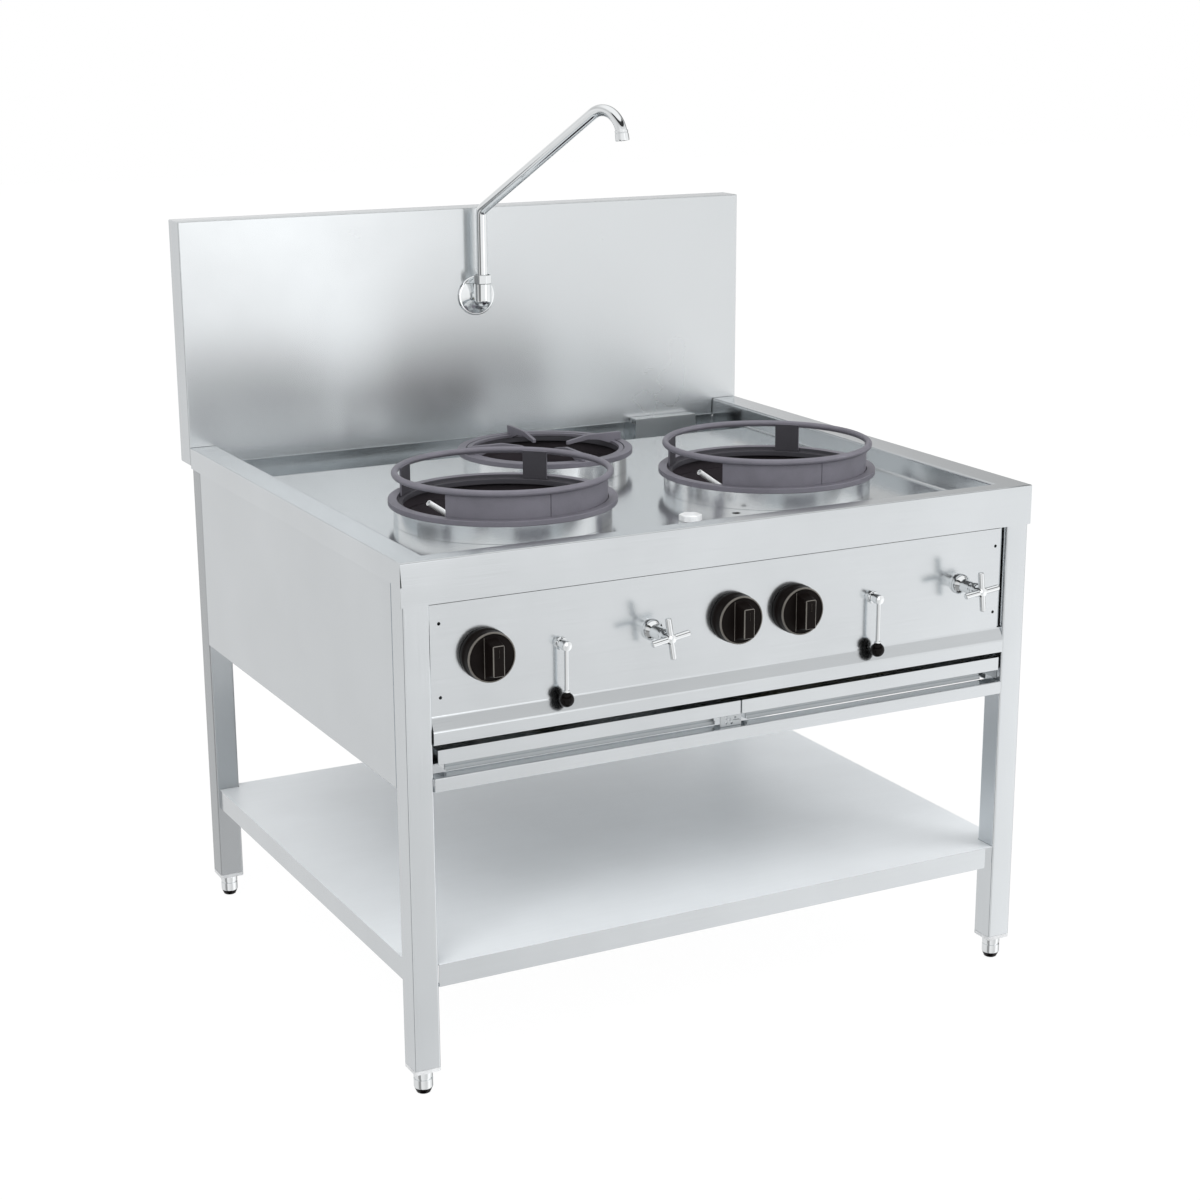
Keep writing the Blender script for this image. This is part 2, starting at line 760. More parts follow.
class WOKRANGE_OT_worktop(bpy.types.Operator):
    """Model the worktop, its sunk deck and rear gutter as one folded skin"""
    bl_idname = "wok_range.worktop"
    bl_label = "Worktop and deck"

    def execute(self, context):
        piece = self.skin()
        self.fold(piece)
        thickened(piece, TOP_SHEET * 0.95)
        self.openings(piece)
        smooth(piece, 40.0)

        def sunk(at, _):
            return (at.z < RIM_TOP - 3.0 and at.y > RIM_FRONT - 3
                    and RIM_LEFT - 3 < at.x < WIDTH - RIM_RIGHT + 3)
        dressed(piece, "sheet_steel", "cabinet", "brushed_steel", "worktop_rim", "deck",
                "rear_gutter", second="deck_steel", where=sunk)
        return {"FINISHED"}

    @staticmethod
    def skin():
        """A flat sheet, its deck and gutter pushed down and its outer edges turned down."""
        deselect()
        low, high = spot(0, 0, RIM_TOP), spot(WIDTH, DEPTH - TOP_SHEET - 0.3, RIM_TOP)
        bpy.ops.mesh.primitive_plane_add(size=1, location=(low + high) / 2, scale=(1, 1, 1))
        piece = named(bpy.context.object, "worktop")
        piece.scale = (high.x - low.x, high.y - low.y, 1)
        bake()
        edit(piece)
        for x, y, across in ((RIM_LEFT, 0, (1, 0, 0)), (WIDTH - RIM_RIGHT, 0, (1, 0, 0)),
                             (0, RIM_FRONT, (0, 1, 0)), (0, DECK_REAR, (0, 1, 0))):
            select_whole()
            bisect(spot(x, y, RIM_TOP), across)

        def inside(face):
            at = middle(face)
            return RIM_LEFT < at.x < WIDTH - RIM_RIGHT and RIM_FRONT < at.y
        choose(piece, "faces", inside)
        extrude(mm(0, 0, DECK_TOP - RIM_TOP))
        choose(piece, "faces", lambda face: middle(face).y > DECK_REAR and face.normal.z > 0.9
               and abs(middle(face).z - DECK_TOP) < 1)
        extrude(mm(0, 0, GUTTER_FLOOR - DECK_TOP))

        rear = DEPTH - TOP_SHEET - 1.0
        choose(piece, "faces", lambda face: middle(face).y > rear and middle(face).z > DECK_TOP)
        bpy.ops.mesh.delete(type="FACE")
        choose(piece, "edges", lambda edge: edge.is_boundary and middle(edge).y > rear
               and abs(middle(edge).z - DECK_TOP) < 0.5)
        extrude_edges(mm(0, 0, SPLASH_LOW + 1.4 - DECK_TOP))

        def outer(edge, side):
            at = middle(edge)
            if abs(at.z - RIM_TOP) > 0.5:
                return False
            along_y = abs((edge.verts[0].co - edge.verts[1].co).y) > 1e-5
            if side == "front":
                return at.y < 0.5 and not along_y
            return along_y and (at.x < 0.5 if side == "left" else at.x > WIDTH - 0.5)
        for side, drop in (("front", FASCIA_HEIGHT), ("left", SKIRT_HEIGHT),
                           ("right", SKIRT_HEIGHT)):
            choose(piece, "edges", lambda edge: outer(edge, side))
            extrude_edges(mm(0, 0, -drop))
        return piece

    @staticmethod
    def fold(piece):
        """Rounds the folds: small ones outside, larger ones into the deck and the gutter."""
        def is_fold(edge, on_deck):
            at = middle(edge)
            sunk = RIM_LEFT - 1 < at.x < WIDTH - RIM_RIGHT + 1 and RIM_FRONT - 1 < at.y
            return len(edge.link_faces) == 2 and is_sharp(edge) and sunk == on_deck
        choose(piece, "edges", lambda edge: is_fold(edge, True))
        bevel(shapes().deck_fold, 4)
        choose(piece, "edges", lambda edge: is_fold(edge, False))
        bevel(shapes().fold_radius, 3)
        select_whole()
        face_outwards()
        shape = bmesh.from_edit_mesh(piece.data)
        top = max(shape.faces, key=lambda face: face.calc_center_median().z)
        if top.normal.z < 0:
            bpy.ops.mesh.flip_normals()
        leave()

    @staticmethod
    def openings(piece):
        """Burner openings, the rinse outlet and the drain."""
        openings = [((x, y, DECK_TOP), 15, radius - NECK_INSET + JOINT, 96)
                    for x, y, radius in BURNERS.values()]
        openings.append((RINSE_OUTLET, 15, 6.5, 24))
        openings.append((DRAIN, 9, 8, 24))
        cut_out(piece, *[bore(*opening, axis="z") for opening in openings])


class WOKRANGE_OT_splashback(bpy.types.Operator):
    """Model the folded splashback with its open back and the hole for the spout"""
    bl_idname = "wok_range.splashback"
    bl_label = "Splashback"

    def execute(self, context):
        back = DEPTH + SPLASH_THICK
        piece = box("splashback_skin", spot(0, DEPTH, SPLASH_LOW), spot(WIDTH, back, SPLASH_TOP))
        edit(piece)
        choose(piece, "faces", lambda face: face.normal.y > 0.9)
        inset(25.0)
        bpy.ops.mesh.delete(type="FACE")
        choose(piece, "edges", lambda edge: not edge.is_boundary and is_sharp(edge))
        bevel(mm(2.0), 3)
        leave()
        thickened(piece, SHEET)
        cut_out(piece, bore((SPOUT_X, 892.5, SPOUT_HEIGHT), 12.5, 11, 32),
                bore((SPOUT_X, RISER_Y, SPLASH_LOW), 8, 9, axis="z"))
        smooth(piece, 40.0)
        dressed(piece, "splash_steel", "cabinet", "brushed_steel", "splashback",
                second="side_steel", where=lambda at, normal: abs(normal.x) > 0.7)
        return {"FINISHED"}


class WOKRANGE_OT_skins(bpy.types.Operator):
    """Model the control panel, side panels, bottom rail and undershelf from folded sheet"""
    bl_idname = "wok_range.skins"
    bl_label = "Cabinet sheets"

    def execute(self, context):
        self.control_panel()
        self.sides()
        self.bottom_rail()
        self.undershelf()
        return {"FINISHED"}

    @staticmethod
    def control_panel():
        face, right = PANEL_FACE, INNER_RIGHT
        path = [(face, 721.6), (face, 562.5), (0.0, 543.5), (0.0, 524.3), (16.0, 524.3)]
        piece = crosswise_sheet("control_panel_skin", path, Vector((0, -1, 0)))
        holes = [(x, z, 2.5, 20) for x in (INNER_LEFT + 15.0, right - 15.6) for z in (694.4, 589.4)]
        holes += [(x, CONTROL_HEIGHT, 7.6, 32) for x in (*KNOBS.values(), *LEVERS.values())]
        holes += [(x, CONTROL_HEIGHT, 12.6, 32) for x, _ in TAPS.values()]
        tools = [bore((x, 8, z), 12, radius, sides) for x, z, radius, sides in holes]
        tools.append(box("hole", spot(right - 6.6, -6, 563.0), spot(right + 4, 20, 730)))
        cut_out(piece, *tools)
        strip = box("joint_strip", spot(right - 4.6, face + 3.0, 563.5),
                    spot(right - 1.9, face + 12.0, 738.0))
        rounded(strip, 0.5)
        dressed(smooth(joined(piece, strip), 30.0), "sheet_steel", "cabinet", "brushed_steel",
                "control_panel")

    @staticmethod
    def sides():
        front, rear = LEG_FRONT + LEG_SIDE + JOINT, LEG_REAR - JOINT
        for side, face, lip in (("left", LEG_LEFT, 15), ("right", WIDTH - LEG_LEFT, -15)):
            path = [(face + lip, LEG_TOP), (face, LEG_TOP),
                    (face, PANEL_LOW), (face + lip, PANEL_LOW)]
            piece = folded_sheet(f"side_sheet_{side}", [spot(x, front, z) for x, z in path],
                                 mm(0, rear - front, 0), SHEET, 2.0, UP)
            smooth(piece, 30.0)
            dressed(piece, "side_steel", "cabinet", "brushed_steel", f"side_panel_{side}")

    @staticmethod
    def bottom_rail():
        path = [(22.0, 477.0), (0.0, 477.0), (0.0, PANEL_LOW), (22.0, PANEL_LOW)]
        piece = crosswise_sheet("bottom_rail_sheet", path, UP)
        smooth(piece, 30.0)
        dressed(piece, "sheet_steel", "cabinet", "brushed_steel", "bottom_rail")

    @staticmethod
    def undershelf():
        piece = reworked("undershelf_sheet", "undershelf", 0.7)
        dressed(piece, "shelf_steel", "cabinet", "brushed_steel", "undershelf",
                second="sheet_steel", where=lambda at, normal: abs(normal.z) < 0.5)


class WOKRANGE_OT_legs(bpy.types.Operator):
    """Model the four square tube legs with their end plugs"""
    bl_idname = "wok_range.legs"
    bl_label = "Legs"

    def execute(self, context):
        low = LEG_BOTTOM + shapes().cap_band / MM
        for corner, piece in alike(self.leg(), "leg_tube", LEG_SHIFTS):
            dressed(piece, "rear_steel" if "rear" in corner else "upright_steel", "cabinet",
                    "brushed_steel", f"leg_{corner}",
                    second="cap_grey", where=lambda at, normal: at.z < low - 0.1)
        return {"FINISHED"}

    @staticmethod
    def leg():
        """A rounded tube, a fine joint line above its end plug and the plug's bore."""
        band, line = shapes().cap_band / MM, 0.5
        x, y = LEG_LEFT, LEG_FRONT
        piece = box("leg_tube_front_left", spot(x, y, LEG_BOTTOM),
                    spot(x + LEG_SIDE, y + LEG_SIDE, LEG_TOP))
        edit(piece)
        choose(piece, "edges", lambda e: abs((e.verts[0].co - e.verts[1].co).z) > 0.1)
        bevel(mm(3.2), 4)
        for height in (band - line, band):
            select_whole()
            bisect(spot(0, 0, LEG_BOTTOM + height), UP)
        choose(piece, "faces", lambda f: LEG_BOTTOM + band - line < middle(f).z < LEG_BOTTOM + band
               and abs(f.normal.z) < 0.5)
        sink(line)
        choose(piece, "faces", lambda f: f.normal.z < -0.9 and middle(f).z < LEG_BOTTOM + 0.1)
        bevel(mm(0.8), 2)
        leave()
        centre = spot(x + LEG_SIDE / 2, y + LEG_SIDE / 2, LEG_BOTTOM)
        cut_out(piece, rod("hole", centre - mm(0, 0, 5), centre + mm(0, 0, 60), 6.4, 24))
        return smooth(piece, 40.0)


class WOKRANGE_OT_feet(bpy.types.Operator):
    """Model the four bullet feet with their stems and dark tips"""
    bl_idname = "wok_range.feet"
    bl_label = "Feet"

    def execute(self, context):
        profile = [
            (0, 0.6), (9.0, 0), (10.2, 0.8), (13.6, 8.6), (14.0, 10.0), (14.0, 22.0), (12.6, 22.6),
            (12.6, 24.6), (14.0, 25.2), (14.0, 33.2), (13.2, 35.4), (8.0, 35.6), (6.0, 35.7),
            (6.0, 71.0), (5.0, 73.0), (0, 73.6),
        ]
        axis = spot(LEG_LEFT + LEG_SIDE / 2, LEG_FRONT + LEG_SIDE / 2, 0)
        first = turned("foot_bullet_front_left", profile, axis, steps=48)
        smooth(first, 35.0)
        for corner, piece in alike(first, "foot_bullet", LEG_SHIFTS):
            dressed(piece, "chrome", f"foot_{corner}", "chrome", f"foot_{corner}",
                    second="ball_black", where=lambda at, normal: at.z < 9.0 and normal.z < -0.2)
        return {"FINISHED"}


class WOKRANGE_OT_burners(bpy.types.Operator):
    """Model the collars with their wells, and the cast flanges"""
    bl_idname = "wok_range.burners"
    bl_label = "Burner collars and flanges"

    def execute(self, context):
        for name, (x, y, radius) in BURNERS.items():
            self.well(name, x, y, radius)
            self.flange(name, x, y, radius)
        return {"FINISHED"}

    @staticmethod
    def well(name, x, y, radius):
        collar, neck, wall = radius - COLLAR_INSET, radius - NECK_INSET, 2.0
        foot, floor, top = DECK_TOP + 0.1, RIM_TOP - 104.0, FLANGE_TOP - 8.8
        piece = turned(f"collar_{name}", [
            (36.0, floor), (neck - 18, floor), (neck - 12, floor + 4), (neck - 5, floor + 20),
            (neck, floor + 42), (neck, foot), (collar - 0.2, foot), (collar, foot + 0.2),
            (collar, top - 0.5), (collar - 0.5, top), (collar - wall + 0.3, top),
            (collar - wall, top - 0.3), (collar - wall, foot + wall), (neck - wall, foot + wall),
            (neck - wall, floor + 42), (neck - 5 - wall, floor + 21),
            (neck - 13 - wall, floor + 4 + wall), (neck - 18 - wall, floor + wall),
            (36.0, floor + wall),
        ], spot(x, y, 0), steps=112)
        smooth(piece, 35.0)

        def inside(at, normal):
            outward = Vector((at.x - x, at.y - y, 0)).normalized()
            return normal.dot(outward) < -0.3 or (normal.z > 0.3 and at.z < DECK_TOP + 8)
        dressed(piece, "collar_steel", "cabinet", "brushed_steel", f"well_{name}",
                second="burner_iron", where=inside)

    @staticmethod
    def flange(name, x, y, radius):
        collar, hole = radius - COLLAR_INSET, radius - SEAT_INSET
        ledge, bottom = hole - 8.0, FLANGE_TOP - 8.5
        piece = turned(f"flange_casting_{name}", [
            (ledge, bottom - 6), (collar - 2.6, bottom - 6), (collar - 2.6, bottom),
            (radius, bottom), (radius, FLANGE_TOP), (hole + 0.2, FLANGE_TOP),
            (hole + 0.2, FLANGE_TOP - 6), (ledge, FLANGE_TOP - 6),
        ], spot(x, y, 0), steps=112)
        rounded(piece, shapes().cast_edge / MM, 3)
        smooth(piece, 40.0)
        dressed(piece, "cast_iron", "cabinet", "cast_iron", f"flange_{name}", second="cast_shade",
                where=lambda at, normal: math.hypot(at.x - x, at.y - y) < hole + 0.4)


class WOKRANGE_OT_wok_rings(bpy.types.Operator):
    """Model the two loose wok rings: round bar, curved shield in two plates, and two tabs"""
    bl_idname = "wok_range.wok_rings"
    bl_label = "Wok rings"

    # where the shield's two plates and the two tabs start and end, in degrees about the ring
    bands = ((213.0, 270.65), (270.95, 330.0), (38.75, 53.25), (129.75, 144.25))
    plate_thickness = 3.0

    def execute(self, context):
        _, y, radius = BURNERS["wok_left"]
        rings = list(alike(self.ring("ring_wok_left"), "ring_wok", WOK_SHIFTS))
        for side, piece in rings:
            centre = BURNERS[f"wok_{side}"][0]

            def faces_in(at, normal):
                inwards = normal.x * (at.x - centre) + normal.y * (at.y - y)
                return at.z < RIM_TOP + 36 and inwards < -0.7 * (radius - 20)
            dressed(piece, "cast_iron", f"wok_ring_{side}", "cast_iron", f"wok_ring_wok_{side}",
                    second="cast_shade", where=faces_in)
        return {"FINISHED"}

    def ring(self, name):
        """The round bar, and its plates down to the seat, joined in one piece."""
        x, y, radius = BURNERS["wok_left"]
        outer = radius - SEAT_INSET - RING_PLAY
        inner, low, high = outer - self.plate_thickness, RING_FOOT, RIM_TOP + 39.5
        section = [(inner, low), (outer, low), (outer, high), (inner, high)]
        bar = shapes().ring_bar
        deselect()
        bpy.ops.mesh.primitive_torus_add(location=spot(x, y, high), major_segments=128,
                                         minor_segments=20, major_radius=mm(outer - 1.5) + bar,
                                         minor_radius=bar)
        piece = settled(name)
        plates = []
        for start, end in self.bands:
            steps = max(4, round((end - start) / 3))
            plate = turned("plate", section, spot(x, y, 0), steps=steps,
                           angle=math.radians(end - start))
            plate = copied(plate, "plate_turned", turn=math.radians(start), about=spot(x, y, 0))
            discard(bpy.data.objects["plate"])
            rounded(plate, 0.6)
            plates.append(plate)
        return smooth(joined(piece, *plates), 40.0)


class WOKRANGE_OT_pan_support(bpy.types.Operator):
    """Model the rear burner's four plate fingers on their ring"""
    bl_idname = "wok_range.pan_support"
    bl_label = "Pan support"

    def execute(self, context):
        x, y, radius = BURNERS["rear"]
        outer = radius - SEAT_INSET - RING_PLAY
        low, above, top = RING_FOOT, FLANGE_TOP + 0.3, RIM_TOP + 14.5
        section = [(outer - 8, low), (outer, low), (outer, low + 5), (outer - 8, low + 5)]
        ring = turned("pan_support_ring", section, spot(x, y, 0), steps=96)
        rounded(ring, 0.8)
        outline = [(40, top - 8), (46, top - 6.6), (74, top - 0.9), (80, top), (141, top),
                   (141, above), (outer, above), (outer, low + 1), (outer - 10, low + 1),
                   (100, top - 11), (80, top - 8.5), (40, top - 14)]
        finger = pulled("finger", [spot(x + a, y - 3, z) for a, z in outline], mm(0, 6, 0))
        rounded(finger, 0.9)
        fingers = [finger]
        for k in range(1, 4):
            turn = math.radians(90 * k)
            fingers.append(copied(finger, f"finger_{k}", turn=turn, about=spot(x, y, 0)))
        piece = smooth(joined(ring, *fingers), 35.0)
        dressed(piece, "cast_iron", "pan_support", "cast_iron", "pan_support_rear")
        return {"FINISHED"}


class WOKRANGE_OT_knobs(bpy.types.Operator):
    """Model the three gas knobs and their bezels"""
    bl_idname = "wok_range.knobs"
    bl_label = "Knobs"

    def execute(self, context):
        x = KNOBS["left"]
        shifts = {place: mm(knob_x - x, 0, 0) for place, knob_x in KNOBS.items()}
        bezels = alike(self.bezel("bezel_left", x), "bezel", shifts)
        grips = alike(self.knob("knob_grip_left", x), "knob_grip", shifts)
        for (place, bezel), (_, knob) in zip(bezels, grips):
            dressed(bezel, "knob_black", "cabinet", "black_plastic", f"valve_{place}",
                    second="brass", where=behind_panel)
            dressed(knob, "knob_black", f"knob_{place}", "black_plastic", f"knob_{place}",
                    second="knob_rim",
                    where=lambda at, normal: self.is_light(at, normal, KNOBS[place]))
        return {"FINISHED"}

    @staticmethod
    def is_light(at, normal, x):
        """The worn, lighter edges: round the disc, round the grip's face and left of its foot."""
        across, up = abs(at.x - x), abs(at.z - CONTROL_HEIGHT)
        if at.y > -15.0:
            on_disc = 33.4 < math.hypot(across, up) < 36.4 and at.y < -9.5
            on_foot = at.y < -12.2 and 11.0 < x - at.x < 12.6 and up < 30.0
            return on_disc or on_foot
        return at.y < -33.6 and abs(normal.y) < 0.97

    @staticmethod
    def bezel(name, x):
        """Valve body behind the panel, neck, and the bezel with its rounded front."""
        face = PANEL_FACE - 0.3
        piece = turned(name, [
            (0, -83), (9, -83), (9, -75), (15, -71), (16, -70), (16, -35), (15, -34), (7, -28),
            (7, -face), (37, -face), (37, -5.8), (36.4, -4.2), (35.0, -3.0), (4, -3.0), (4, 6),
            (0, 6),
        ], at_controls(x), axis="y", steps=72)
        return smooth(piece, 32.0)

    def knob(self, name, x):
        """Disc with a bevelled rim and a shallow dish, and a tapered bar grip across it."""
        edge = shapes().knob_edge / MM
        back, front = -2.6, 13.0
        disc = turned(name, [
            (0, back + 9.3), (4.4, back + 9.3), (4.4, back), (36.6, back), (37, back + 0.4),
            (37, back + 1.5), (36.2, back + 3.0), (36.0, front - edge), (35.6, front - 0.8),
            (34.6, front), (33.6, front - 0.3), (32.6, front - 1.3), (12, front - 1.0),
            (0, front - 1.0),
        ], at_controls(x), axis="y", steps=72)

        def bar(kind, half_width, first, last, low, high):
            return box(kind, spot(x - half_width, first, CONTROL_HEIGHT + low),
                       spot(x + half_width, last, CONTROL_HEIGHT + high))
        foot = rounded(bar("foot", 12.0, -13.1, -11, -29.5, 29.5), 0.5)
        grip = bar("grip", 10.4, -35, -11, -27.5, 27.5)
        edit(grip)
        choose(grip, "faces", lambda f: f.normal.y < -0.9)
        bpy.ops.transform.resize(value=(0.84, 1, 0.79), center_override=at_controls(x, -35))
        choose(grip, "edges", lambda e: is_sharp(e, 0.7) and middle(e).y > -34)
        bevel(mm(2.2), 4)
        choose(grip, "edges", lambda e: is_sharp(e, 0.7) and middle(e).y < -34)
        bevel(mm(1.3), 3)
        leave()
        cut_out(grip, bar("groove", 0.9, -37, -34.5, 5, 17))
        return smooth(joined(disc, foot, grip))


class WOKRANGE_OT_levers(bpy.types.Operator):
    """Model the two ball-end gas levers and their valve fronts"""
    bl_idname = "wok_range.levers"
    bl_label = "Levers"

    def execute(self, context):
        x = LEVERS["left"]
        shifts = {place: mm(lever_x - x, 0, 0) for place, lever_x in LEVERS.items()}
        valves = alike(self.valve("lever_stem_left", x), "lever_stem", shifts)
        arms = alike(self.lever("lever_arm_left", x), "lever_arm", shifts)
        for (place, valve), (_, lever) in zip(valves, arms):
            dressed(valve, "chrome", "cabinet", "chrome", f"lever_valve_{place}",
                    second="brass", where=behind_panel)
            dressed(lever, "chrome", f"lever_{place}", "chrome", f"lever_{place}",
                    second="ball_black", where=lambda at, normal: at.z < BALL_CENTRE + 10.5)
        return {"FINISHED"}

    @staticmethod
    def valve(name, x):
        face = PANEL_FACE - 0.3
        piece = turned(name, [
            (0, -83), (9, -83), (9, -75), (13, -71), (14, -70), (14, -35), (13, -34), (7, -28),
            (7, -face), (9.4, -face), (9.4, -5.4), (8.8, -4.6), (4, -4.4), (4, 6), (0, 6),
        ], at_controls(x), axis="y", steps=48)
        return smooth(piece, 32.0)

    @staticmethod
    def lever(name, x):
        """Hub cap, straight rod with a collar, and the ball on its end."""
        hub = turned(name, [
            (0, 6.6), (4.4, 6.6), (4.4, -3.8), (6.4, -3.8), (6.4, 1.0), (7.6, 2.0), (7.6, 11.8),
            (7.0, 13.2), (5.6, 13.9), (0, 14.0),
        ], at_controls(x), axis="y", steps=48)
        arm = rod("arm", spot(x, -9, CONTROL_HEIGHT - 6), spot(x, -9, BALL_CENTRE + 8), 3.4, 28)
        section = [(3.0, 571.5), (5.0, 572.0), (5.2, 575.5), (4.6, 577.6), (3.0, 578.2)]
        collar = turned("collar", section, spot(x, -9, 0), steps=32)
        deselect()
        bpy.ops.mesh.primitive_uv_sphere_add(segments=40, ring_count=24, radius=mm(10.8),
                                             location=spot(x, -9, BALL_CENTRE))
        ball = settled("ball")
        flat = BALL_CENTRE - 10.3
        edit(ball)
        choose(ball, "verts", lambda v: v.co.z < mm(flat))
        bpy.ops.transform.resize(value=(1, 1, 0.0), center_override=spot(x, -9, flat))
        leave()
        return smooth(joined(hub, arm, collar, ball), 35.0)


class WOKRANGE_OT_taps(bpy.types.Operator):
    """Model the two water taps with their cross handles"""
    bl_idname = "wok_range.taps"
    bl_label = "Water taps"

    def execute(self, context):
        for place, (x, turn) in TAPS.items():
            base = turned(f"tap_body_{place}", [
                (0, -58), (15, -58), (15, -24), (12, -24), (12, -8.45), (16, -8.45), (16, -5.4),
                (15.6, -2.6), (14.2, -0.6), (12, 1.6), (10.4, 3.4), (10, 6), (10, 22), (9.2, 24),
                (9.2, 27), (10, 28), (9.4, 30), (4, 30), (4, 44), (0, 44),
            ], at_controls(x), axis="y", steps=48)
            smooth(base, 32.0)
            dressed(base, "chrome", "cabinet", "chrome", f"tap_{place}",
                    second="brass", where=behind_panel)
            handle = self.handle(f"tap_cross_{place}", x, math.radians(turn))
            dressed(handle, "chrome", f"tap_handle_{place}", "chrome", f"tap_handle_{place}")
        return {"FINISHED"}

    @staticmethod
    def handle(name, x, turn):
        """A domed hub with two round bars through it, each bar end rounded over."""
        hub = turned(name, [
            (0, 44.6), (4.4, 44.6), (4.4, 30.3), (10.4, 30.3), (11, 31), (11, 38), (9.6, 40.0),
            (8.6, 46), (8.2, 49.4), (6.4, 51.4), (3.4, 52.0), (0, 52.0),
        ], at_controls(x), axis="y", steps=48)
        centre, bars = at_controls(x, -47), []
        for angle in (turn, turn + math.pi / 2):
            half = Vector((math.cos(angle), 0, math.sin(angle))) * mm(31)
            bars.append(rounded(rod("bar", centre - half, centre + half, 4.8, 28), 2.2, 4, 60.0))
        return smooth(joined(hub, *bars), 35.0)


class WOKRANGE_OT_spout(bpy.types.Operator):
    """Model the wall outlet, its escutcheon and nut, and the swivelling pipe with its nozzle"""
    bl_idname = "wok_range.spout"
    bl_label = "Spout"

    def execute(self, context):
        dressed(self.escutcheon(), "chrome", "cabinet", "chrome", "spout_escutcheon")
        dressed(self.outlet(), "chrome", "cabinet", "chrome", "spout_body")
        route, tip, heading = self.route()
        pipe = smooth(swept("spout_tube", route, SPOUT_PIPE, 32), 40.0)
        dressed(pipe, "chrome", "spout", "chrome", "spout_pipe")
        dressed(self.nozzle(tip, heading), "chrome", "spout", "chrome", "spout_nozzle")
        return {"FINISHED"}

    @staticmethod
    def escutcheon():
        """A thin dished disc with a rolled edge."""
        piece = turned("escutcheon_disc", [
            (9.4, 0), (33.2, 0), (34, 0.8), (34, 2.0), (33.0, 3.2), (31.4, 3.4), (30.2, 3.1),
            (20, 5.4), (14, 6.6), (12.4, 7.0), (9.4, 7.0),
        ], spot(SPOUT_X, DEPTH - 0.3, SPOUT_HEIGHT), axis="y", steps=96)
        return smooth(piece, 30.0)

    @staticmethod
    def outlet():
        """A cross tube out of the wall, the upright body with its domed foot, and its nut."""
        axis = spot(SPOUT_X, SPOUT_Y, 0)
        body = turned("outlet_body", [
            (0, SPOUT_HEIGHT - 16.0), (6, SPOUT_HEIGHT - 15.8), (11, SPOUT_HEIGHT - 14.0),
            (14.2, SPOUT_HEIGHT - 9.6), (15, SPOUT_HEIGHT - 5), (15, SPOUT_NUT_TOP - 15.4),
            (0, SPOUT_NUT_TOP - 15.4),
        ], axis, steps=64)
        smooth(body, 30.0)
        nut = rod("nut", axis + mm(0, 0, SPOUT_NUT_TOP - 15.2), axis + mm(0, 0, SPOUT_NUT_TOP),
                  16.0, 8)
        rounded(nut, 1.0, 3, 25.0)
        cone = turned("nut_neck", [(9.9, SPOUT_NUT_TOP - 1), (12.6, SPOUT_NUT_TOP - 1),
                                   (12.2, SPOUT_NUT_TOP), (9.9, SPOUT_NUT_TOP)], axis, steps=48)
        neck = turned("neck", [
            (0, -27.5), (9, -27.5), (9, -5.5), (7.2, -1.5), (7.2, 7.4), (9.0, 7.4), (9.0, 20),
            (0, 20),
        ], spot(SPOUT_X, DEPTH, SPOUT_HEIGHT), axis="y", steps=48)
        return smooth(joined(body, neck, cone, nut), 30.0)

    @staticmethod
    def route():
        """The pipe's centre line: up, a tight elbow, the slope, and the bend down to the nozzle."""
        turn = math.radians(SPOUT_YAW)
        out = Vector((math.cos(turn), math.sin(turn), 0))

        def heading(angle):
            return out * math.cos(angle) + UP * math.sin(angle)
        slope, radius = math.radians(SPOUT_SLOPE), mm(41.0)
        foot = spot(SPOUT_X, SPOUT_Y, SPOUT_NUT_TOP - 17.0)
        elbow = spot(SPOUT_X, SPOUT_Y, SPOUT_HEIGHT + 148.3)
        bend = elbow + heading(slope) * mm(309.6)
        places = bent([foot, elbow, bend], 15.0, 10)
        centre = bend + heading(slope - math.pi / 2) * radius
        steps, sweep = 28, math.radians(114.0)
        for step in range(1, steps + 1):
            angle = slope - sweep * step / steps
            places.append(centre + heading(angle + math.pi / 2) * radius)
        end = slope - sweep
        tip = places[-1] + heading(end) * mm(8.0)
        return places + [tip], tip, heading(end)

    @staticmethod
    def nozzle(tip, heading):
        """A flared sleeve with a groove, and a sieve set inside its mouth."""
        inner, outer = SPOUT_PIPE + 0.3, 11.6
        piece = turned("nozzle_sleeve", [
            (inner, -13.0), (outer - 1.4, -13.0), (outer - 0.9, -12.4), (outer - 0.8, -9.0),
            (outer - 1.3, -8.6), (outer - 1.3, -7.8), (outer - 0.5, -7.3), (outer, 2.4),
            (outer - 0.6, 4.0), (8.6, 4.0), (8.2, 3.6), (8.2, 1.2), (0, 1.0), (0, 0.3),
            (inner, 0.3),
        ], Vector(), steps=48)
        stood(piece, tip, heading)
        return smooth(piece, 30.0)


class WOKRANGE_OT_pilots(bpy.types.Operator):
    """Model the two bent pilot tubes with their open ends"""
    bl_idname = "wok_range.pilots"
    bl_label = "Pilots"

    def execute(self, context):
        x, y, _ = BURNERS["wok_left"]
        route = [spot(x - 72, y + 20, RIM_TOP - 50.4), spot(x - 72, y + 20, RIM_TOP - 30),
                 spot(x - 116, y + 13, RIM_TOP)]
        first = swept("pilot_tube_left", bent(route, 8.0), 4.5)
        edit(first)
        choose(first, "faces", lambda face: len(face.verts) > 8 and middle(face).z > RIM_TOP - 5)
        inset(1.1)
        sink(7.0)
        leave()
        smooth(first, 40.0)
        for side, piece in list(alike(first, "pilot_tube", WOK_SHIFTS)):
            dressed(piece, "cap_white", "cabinet", "chrome", f"pilot_wok_{side}")
        return {"FINISHED"}


